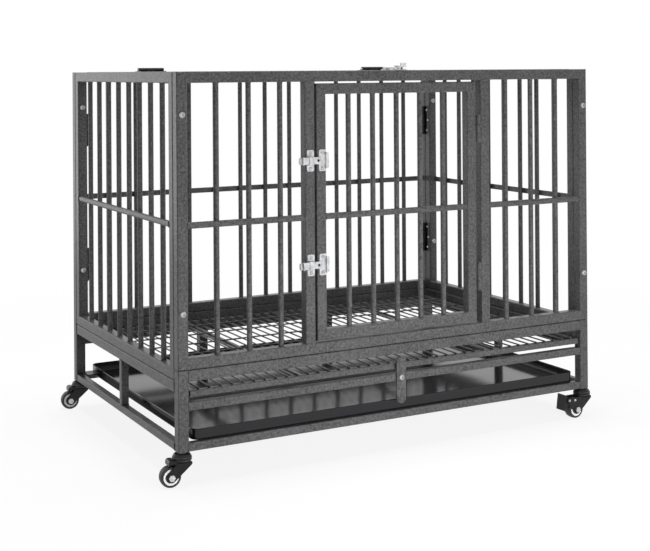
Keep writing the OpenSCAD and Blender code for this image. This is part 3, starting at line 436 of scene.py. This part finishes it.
def latches():
    """Pressed latch plates with softened edges, the bent straps that the catches slide under, finger tabs
    and tubular rivets with a dimple: plates are lofted outlines, straps a bent band's outline drawn along
    X, rivets turned. Each is placed in a latch's own frame."""
    lid_latch = np.array([[0, -1, 0, LID_LATCH_X], [1, 0, 0, -INNER_Y], [0, 0, 1, TOP]], float)
    doors = [latch_place(z) for z in LATCH_Z]
    keepers = doors + [lid_latch]
    keeper_x, tongue_x, wing_x, strap_end_x, rivet_y, plate_t = -9.5, 15.5, 25.5, -33, 14.5, 1.5
    plate = loft([(0.5, 0), (0, 0.4), (0, 1.0), (0.25, 1.35), (0.8, plate_t)], 15, 40, 3.2)
    across = np.array([(-10.4, 1.3), (-10.4, 2.5), (-8.8, 2.8), (-8.4, 3.4), (-8.4, 8.2), (-7.9, 9.1),
                       (-7.0, 9.4), (7.0, 9.4), (7.9, 9.1), (8.4, 8.2), (8.4, 3.4), (8.8, 2.8),
                       (10.4, 2.5), (10.4, 1.3), (7.2, 1.3), (6.9, 2.0), (6.9, 8.1), (-6.9, 8.1),
                       (-6.9, 2.0), (-7.2, 1.3)])
    along, crest, crest_soft = (-15.6, -15.2, -8.8, -8.4), 8.5, 0.3
    strap = np.stack([np.column_stack([np.full(len(across), x), across]) for x in along])
    strap[[0, -1], :, 2] -= np.where(across[:, 1] > crest, crest_soft, 0)
    piece("latch_keepers", "root", "zinc_plate",
          [("caps", placed(plate, [chain(k, at((keeper_x, 0, 0))) for k in keepers])),
           ("caps", placed(strap, keepers))], ["latch_plates"], 30)
    rivet = lathe([(3.5, 0), (3.45, 0.5), (2.9, 1.2), (2.1, 1.6), (1.5, 1.65), (1.1, 1.3), (0.6, 0.7)], 16)
    for name, body, hosts, x, old in (
            ("keeper_rivets", "root", keepers, keeper_x, "latch_rivets"),
            ("tongue_rivets", "front_door", doors, tongue_x, "door_latch_rivets")):
        ends = [at((x, side * rivet_y, plate_t)) for side in SIDES]
        places = [chain(k, e) for k in hosts for e in ends]
        piece(name, body, "zinc_plate", [("caps", placed(rivet, places))], [old], finish="rivet_zinc_painted_shade")
    wing = loft([(0.5, 0.2), (0, 0.6), (0, 1.2), (0.3, 1.6), (0.8, 1.75)], 7, 29, 2.6)
    piece("tongue_wings", "front_door", "zinc_plate",
          [("caps", placed(wing, [chain(k, at((wing_x, 0, 0))) for k in doors]))], smooth_deg=30)
    strap_end = loft([(0.4, 5.9), (0, 6.2), (0, 7.6), (0.4, 7.9)], 7, 12, 2.0)
    finger = loft([(0.5, 0), (0, 0.4), (0, 1.6), (0.5, 2.0)], 7.5, 12.6, 2.6)
    upright = np.array([[0, 0, 1, -36.5], [0, 1, 0, 0], [-1, 0, 0, 9.7]], float)
    for name, here in zip(("lower", "upper"), doors):
        piece("finger_tab_" + name, "door_catch_" + name, "zinc_plate",
              [("caps", placed(strap_end, [chain(here, at((strap_end_x, 0, 0)))])),
               ("caps", placed(finger, [chain(here, upright)]))], smooth_deg=30)


def weld_beads():
    """Weld beads where bars, rods and tubes meet a frame: small rings swept round each end."""
    bar_thick, tube_thick, rod_thick, rod_r, bar_sunk = 1.3, 1.1, 1.2, 1.8, 0.2
    bar_ring = round_bead(BAR / 2 - bar_sunk, bar_thick)
    tube_ring = square_bead(TUBE, TUBE, TUBE_R, tube_thick)
    light_ring = square_bead(LIGHT, LIGHT, TUBE_R, tube_thick)
    rod_ring = square_bead(ROD_H, ROD_T, rod_r, rod_thick)
    along_x, along_y = (1, 0, 0), (0, 1, 0)
    front_ends, side_ends = (FRONT_FOOT + TUBE, TOP - TUBE), (SIDE_FOOT + TUBE, TOP - TUBE)

    bars = [(DOORWAY_X + s * BAR_PITCH * k, -POST_Y, z)
            for s in SIDES for k in FRONT_BARS for z in front_ends]
    bars += [(BAR_PITCH * k, POST_Y, z) for k in BACK_BARS for z in side_ends]
    side_y = np.linspace(-SIDE_BAR_END, SIDE_BAR_END, SIDE_BARS)
    bars += [(s * POST_X, y, z) for s in SIDES for y in side_y for z in side_ends]

    heavy = [at((s * INNER_X, y, z), along_x) for s in SIDES
             for y, z in ((-POST_Y, FRONT_UPPER_Z), (POST_Y, UPPER_Z))]
    heavy += [at((s * POST_X, t * INNER_Y, UPPER_Z), along_y) for s in SIDES for t in SIDES]
    heavy += [at((s * REAR_POST_X, POST_Y, z)) for s in SIDES for z in (BOTTOM_TOP, BACK_MID_FOOT)]
    heavy += [at((DOORWAY_X + s * (DOORWAY + TUBE) / 2, -POST_Y, z)) for s in SIDES for z in front_ends]

    light = [at((s * INNER_X, y, z), along_x) for s in SIDES
             for y, z in ((-LIGHT_Y, BOTTOM_Z), (LIGHT_Y, BOTTOM_Z), (-LIGHT_Y, FRONT_MID_Z),
                          (LIGHT_Y, BACK_MID_Z))]
    light += [at((s * LIGHT_X, t * INNER_Y, BOTTOM_Z), along_y) for s in SIDES for t in SIDES]
    light += [at((s * LIGHT_X, 0, z)) for s in SIDES for z in (BOTTOM_TOP, UPPER_FOOT)]

    rod_x, rod_y = HALF_W - ROD_T / 2, HALF_D - ROD_T / 2
    level_x = np.array([[0, 0, 1], [0, 1, 0], [1, 0, 0]], float)
    level_y = np.array([[0, 1, 0], [0, 0, 1], [1, 0, 0]], float)
    stile_ends = (-INNER_X, LATCH_X - TUBE, DOORWAY_X + DOORWAY / 2 + TUBE, INNER_X)
    rods = [np.column_stack([level_x, (x, y, ROD_Z)])
            for y, ends in ((-rod_y, stile_ends), (rod_y, (-INNER_X, INNER_X))) for x in ends]
    rods += [np.column_stack([level_y, (s * rod_x, t * (SIDE_HALF - TUBE), ROD_Z)])
             for s in SIDES for t in SIDES]
    piece("frame_welds", "root", "hammered_paint",
          [("ring", placed(bar_ring, [at(p) for p in bars])), ("ring", placed(tube_ring, heavy)),
           ("ring", placed(light_ring, light)), ("ring", placed(rod_ring, rods))])

    door_left, door_right = DOOR_X0 + TUBE, DOOR_X0 + DOOR_W - TUBE
    door = [(door_left + (DOOR_W - 2 * TUBE) * k / (DOOR_BARS + 1), -POST_Y, z)
            for k in range(1, DOOR_BARS + 1) for z in (DOOR_FOOT + TUBE, DOOR_TOP - TUBE)]
    ends = [np.column_stack([level_x, (x, -rod_y, ROD_Z)]) for x in (door_left, door_right)]
    piece("door_welds", "front_door", "hammered_paint",
          [("ring", placed(bar_ring, [at(p) for p in door])), ("ring", placed(rod_ring, ends))])

    lid = [(-LID_HALF_W + 2 * LID_HALF_W * k / (LID_BARS + 1), s * LID_HALF_D, LID_TOP - TUBE / 2)
           for k in range(1, LID_BARS + 1) for s in SIDES]
    piece("lid_welds", "lid", "hammered_paint", [("ring", placed(bar_ring, [at(p, along_y) for p in lid]))])


def pressed_tray():
    """Sheet tray with a rolled rim and soft bottom edges: rounded outlines drawn in by an inset at each
    height, up the outside, over the roll and down the inside."""
    low, high = (np.array(c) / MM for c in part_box("tray"))
    width, length, tall = high - low
    levels = [(14, 0.2), (2.4, 0), (1.2, 0.2), (0.6, 0.8), (0.4, 1.6), (0.4, 2.4), (0.4, tall - 3.4),
              (0.4, tall - 2.6), (0.1, tall - 2.0), (0, tall - 1.2), (0.3, tall - 0.4), (1.0, tall),
              (1.7, tall - 0.4), (2.0, tall - 1.2), (1.9, tall - 2.2), (1.9, tall - 3.0), (2.1, 6.0),
              (2.4, 4.2), (3.2, 2.6), (4.6, 1.8), (7.0, 1.5), (12, 1.4), (40, 1.3)]
    form = loft(levels, width, length, TRAY_R, 8)
    middle = (low + high) / 2
    piece("pressed_tray", "tray", "tray_gloss",
          [("caps", placed(form, [at((middle[0], middle[1], low[2]))]))], ["tray"], 50)


def casters():
    """Pressed forks with a turned swivel head, rubber tyres with a crowned tread, thin dark rubber discs on
    the hub faces as painted shade over the hub's middle, ridges round the heads and rivets on the braked
    cheeks: turned forms and plates, placed in each caster's own frame, which has its origin on the floor
    under the stem and trails towards -X."""
    axle_x, axle_z, brake_x, brake_z, rivet_x, rivet_z = -22, 19, -43, 40, -28, 39
    cheek_in, cheek_out, cheek_soft, hood_soft = 9.8, 11.8, 0.4, 0.5
    crown_low, crown_top = 41, 45
    tread = [(14.05, -8.6), (16.2, -9.0), (17.4, -8.6), (18.2, -7.6), (18.65, -6.0), (18.9, -3.2), (19.0, 0)]
    tyre = lathe(tread + [(r, -h) for r, h in tread[-2::-1]], 48)
    # A thin dark rubber disc for each hub face: painted shade over the middle of the white hub
    hub_shade_disc = lathe([(3.4, 6.5), (9.6, 6.5), (9.6, 6.9), (6.0, 7.2), (3.4, 7.2)], 32)
    head = lathe([(STEM_BORE, crown_top), (14.5, crown_top), (16.3, 45.6), (17.3, 46.8), (17.75, 48.6),
                  (17.75, 50.2), (17.2, 51.8), (16.4, 52.6), (16.0, 54.2), (15.2, 56.0), (13.8, 57.2),
                  (12.6, 57.5), (11.7, 57.2), (11.4, 56.6), (11.4, 53.4), (STEM_BORE, 53.4)], 48)
    rim = outline(28, 2 * cheek_out, 5)
    hole = rim * STEM_BORE / np.linalg.norm(rim, axis=1, keepdims=True)
    crown = np.stack([np.column_stack([flat, np.full(len(rim), z)]) for flat, z in
                      ((hole, crown_low), (rim * 0.96, crown_low), (rim, 41.8), (rim, 44.4),
                       (rim * 0.97, crown_top), (hole, crown_top))])
    hood = np.array([(-12, 41.5), (-12, 47.2), (-19, 48.4), (-23.5, 48.4), (-26, 47.2), (-27.2, 45),
                     (-27.6, 39.6), (-25.6, 39.6), (-25.0, 41.5)])
    rivet = lathe([(2.7, 0), (2.65, 0.4), (2.2, 1.1), (1.5, 1.5), (0.7, 1.6)], 14)
    wire, wire_wide, wire_tall = round_turn(8), 0.4, 0.5
    ridges = [lathe(np.column_stack([r + wire_wide * np.cos(wire), z + wire_tall * np.sin(wire)]), 40)
              for r, z in ((17.2, 46.7), (16.9, 52.2))]
    for corner, (x, y, angle) in CASTERS.items():
        c, s = math.cos(math.radians(angle)), math.sin(math.radians(angle))
        stand = np.array([[c, -s, 0, x], [s, c, 0, y], [0, 0, 1, 0]], float)
        wheel, caster = "wheel_" + corner, "caster_" + corner
        braked = corner.endswith("right")
        circles = [(axle_x, axle_z, 9.4), (12.2, 41.2, 3.8), (-8, 41.2, 3.8)]
        path = hull_path(circles + [(brake_x, brake_z, 5.6)] * braked, crown_top)
        forms = [plate_on(path, cheek_in, cheek_out, cheek_soft),
                 plate_on(path, -cheek_out, -cheek_in, cheek_soft)]
        if not braked:
            forms.append(plate_on(hood, -cheek_out, cheek_out, hood_soft))
        piece("pressed_fork_" + corner, caster, "black_steel",
              [("caps", placed(form, [stand])) for form in forms]
              + [("ring", placed(form, [stand])) for form in (crown, head)], ["fork_" + corner])
        axle = chain(stand, at((axle_x, 0, axle_z), (0, 1, 0)))
        piece("tread_" + corner, wheel, "tyre_rubber", [("ring", placed(tyre, [axle]))],
              ["tyre_" + corner], 60)
        # Painted shade: the dark discs on both faces of each hub
        faces = [chain(stand, at((axle_x, 0, axle_z), (0, side, 0))) for side in SIDES]
        piece("painted_hub_shade_" + corner, wheel, "tyre_rubber", [("ring", placed(hub_shade_disc, faces))])
        piece("head_ridges_" + corner, caster, "zinc_plate",
              [("ring", placed(ridge, [stand])) for ridge in ridges], finish="dull_zinc")
        if braked:
            spots = [at((u, side * cheek_out, z), (0, side, 0))
                     for u, z in ((brake_x, brake_z), (rivet_x, rivet_z)) for side in SIDES]
            piece("cheek_rivets_" + corner, caster, "zinc_plate",
                  [("caps", placed(rivet, [chain(stand, p) for p in spots]))], finish="rivet_zinc_painted_shade")


def mitre_seams():
    """Ground welds along the mitred corners of the door and the front panel: thin spindles, half sunk in
    the face, from the outer corner to the inner one."""
    reach = TUBE * math.sqrt(2)
    spindle = lathe([(0.1, 0.3), (0.5, 2), (0.6, reach / 2), (0.5, reach - 2), (0.1, reach - 0.3)], 8)
    slant = math.sqrt(0.5)
    for name, body, left, right, low, high in (
            ("panel_mitres", "root", -HALF_W, HALF_W, FRONT_FOOT, TOP),
            ("door_mitres", "front_door", DOOR_X0, DOOR_X0 + DOOR_W, DOOR_FOOT, DOOR_TOP)):
        places = [at((x, -HALF_D, z), (dx * slant, 0, dz * slant))
                  for x, dx in ((left, 1), (right, -1)) for z, dz in ((low, 1), (high, -1))]
        piece(name, body, "hammered_paint", [("caps", placed(spindle, places))])


def hinge_ends():
    """Domed ends on the door hinges' barrels: a turned cap under each lower barrel and over each upper
    one."""
    cap = lathe([(4.5, -0.6), (4.5, 0.2), (4.2, 0.9), (3.2, 1.5), (1.6, 1.8)], 20)
    for name, body, side in (("hinge_feet", "root", -1), ("hinge_tops", "front_door", 1)):
        places = [at((HINGE_X, -HALF_D, z + side * HINGE_HALF), (0, 0, side)) for z in HINGE_Z]
        piece(name, body, "hammered_paint", [("caps", placed(cap, places))])


socket_bolts()
latches()
weld_beads()
pressed_tray()
casters()
mitre_seams()
hinge_ends()


# Studio, in metres

IMAGE_W, IMAGE_H = 650, 551
FOCAL_PX = 1254.53
PRINCIPAL_Y_PX = 67.9
EYE = (-1.2762, -2.3644, 0.7286)
YAW, PITCH, ROLL = (math.radians(a) for a in (28.391, -0.141, -0.378))
# Name, place, aim, size, watts and whether gloss shows it
LIGHTS = (
    ("front", (0.6, -3.5, 0.4), (0, -0.2, 0.3), 1.2, 60, False),
    ("front_low", (0.0, -1.0, 0.04), (0, -0.3, 0.12), 0.6, 7, False),
    ("left", (-1.5, 2.3, 0.7), (-0.46, 0, 0.4), 1.3, 7, True),
    ("overhead", (0.0, 0.1, 2.5), (0, 0, 0.4), 1.4, 80, False),
)


def camera_at_photo():
    """Camera with the photograph's place, turn and framing: yaw from +Y towards +X, pitch below the
    horizon, roll about the line of sight. The shift carries the photograph's high horizon."""
    ahead = Vector((math.sin(YAW) * math.cos(PITCH), math.cos(YAW) * math.cos(PITCH), -math.sin(PITCH)))
    level = Vector((math.cos(YAW), -math.sin(YAW), 0))
    upward = level.cross(ahead)
    right = math.cos(ROLL) * level + math.sin(ROLL) * upward
    above = -math.sin(ROLL) * level + math.cos(ROLL) * upward
    data = bpy.data.cameras.new("camera")
    data.sensor_fit = "HORIZONTAL"
    data.sensor_width = 36
    data.lens = data.sensor_width * FOCAL_PX / IMAGE_W
    data.shift_y = -(IMAGE_H / 2 - PRINCIPAL_Y_PX) / IMAGE_W
    data.clip_start, data.clip_end = 0.05, 100
    made = bpy.data.objects.new("camera", data)
    scene.collection.objects.link(made)
    made.matrix_world = Matrix.Translation(EYE) @ Matrix((right, above, -ahead)).transposed().to_4x4()
    scene.camera = made


def seen_directly(tree):
    """1 for rays that show the surroundings: from the camera, off gloss or through glass; else 0."""
    path = add(tree, "LightPath").outputs
    gloss = add(tree, "Math", {0: path["Is Camera Ray"], 1: path["Is Glossy Ray"]}, operation="MAXIMUM")
    return add(tree, "Math", {0: gloss.outputs["Value"], 1: path["Is Transmission Ray"]},
               operation="MAXIMUM").outputs["Value"]


def white_surroundings(fill):
    """World that looks white and lights the object with only the given fill."""
    world = bpy.data.worlds.new("studio")
    scene.world = world
    world.use_nodes = True
    tree = world.node_tree
    tree.nodes.clear()
    lit = add(tree, "Background", {"Color": linear(WHITE), "Strength": fill})
    seen = add(tree, "Background", {"Color": linear(WHITE), "Strength": 1.0})
    both = add(tree, "MixShader", {0: seen_directly(tree), 1: lit.outputs[0], 2: seen.outputs[0]})
    add(tree, "OutputWorld", {"Surface": both.outputs["Shader"]})


def pale_floor(half_m, glow, near_m, far_m):
    """Large pale floor: up to the near distance from the middle a share glow of its look is plain white
    and the rest is lit and keeps the shadow; from the far distance on it is all white, so that no far
    edge shows."""
    corners = [(-half_m, -half_m, 0), (half_m, -half_m, 0), (half_m, half_m, 0), (-half_m, half_m, 0)]
    mesh = bpy.data.meshes.new("floor")
    mesh.from_pydata(corners, [], [(0, 1, 2, 3)])
    floor = bpy.data.objects.new("floor", mesh)
    scene.collection.objects.link(floor)
    made, tree, place = material("floor_paper")
    paper = add(tree, "BsdfDiffuse", {"Color": linear("#f2f2f2")})
    white = add(tree, "Emission", {"Color": linear(WHITE), "Strength": 1.0})
    away = add(tree, "VectorMath", {0: place}, operation="LENGTH")
    share = add(tree, "MapRange", {"Value": away.outputs["Value"], "From Min": near_m, "From Max": far_m,
                                   "To Min": glow, "To Max": 1.0}, interpolation_type="SMOOTHSTEP")
    share = add(tree, "Math", {0: seen_directly(tree), 1: share.outputs["Result"]}, operation="MULTIPLY")
    both = add(tree, "MixShader", {0: share.outputs["Value"], 1: paper.outputs[0], 2: white.outputs[0]})
    add(tree, "OutputMaterial", {"Surface": both.outputs["Shader"]})
    mesh.materials.append(made)


def soft_light(name, place, aim, size, watts, in_gloss):
    """Square soft box at place, facing aim; gloss shows it only where that is asked for."""
    data = bpy.data.lights.new(name, "AREA")
    data.shape = "SQUARE"
    data.size = size
    data.energy = watts
    lamp = bpy.data.objects.new(name, data)
    scene.collection.objects.link(lamp)
    lamp.location = place
    lamp.rotation_mode = "QUATERNION"
    lamp.rotation_quaternion = (Vector(aim) - Vector(place)).to_track_quat("-Z", "Y")
    lamp.visible_camera = False
    lamp.visible_glossy = in_gloss


camera_at_photo()
white_surroundings(fill=0.08)
pale_floor(half_m=15, glow=0.88, near_m=0.6, far_m=2.0)
for light in LIGHTS:
    soft_light(*light)
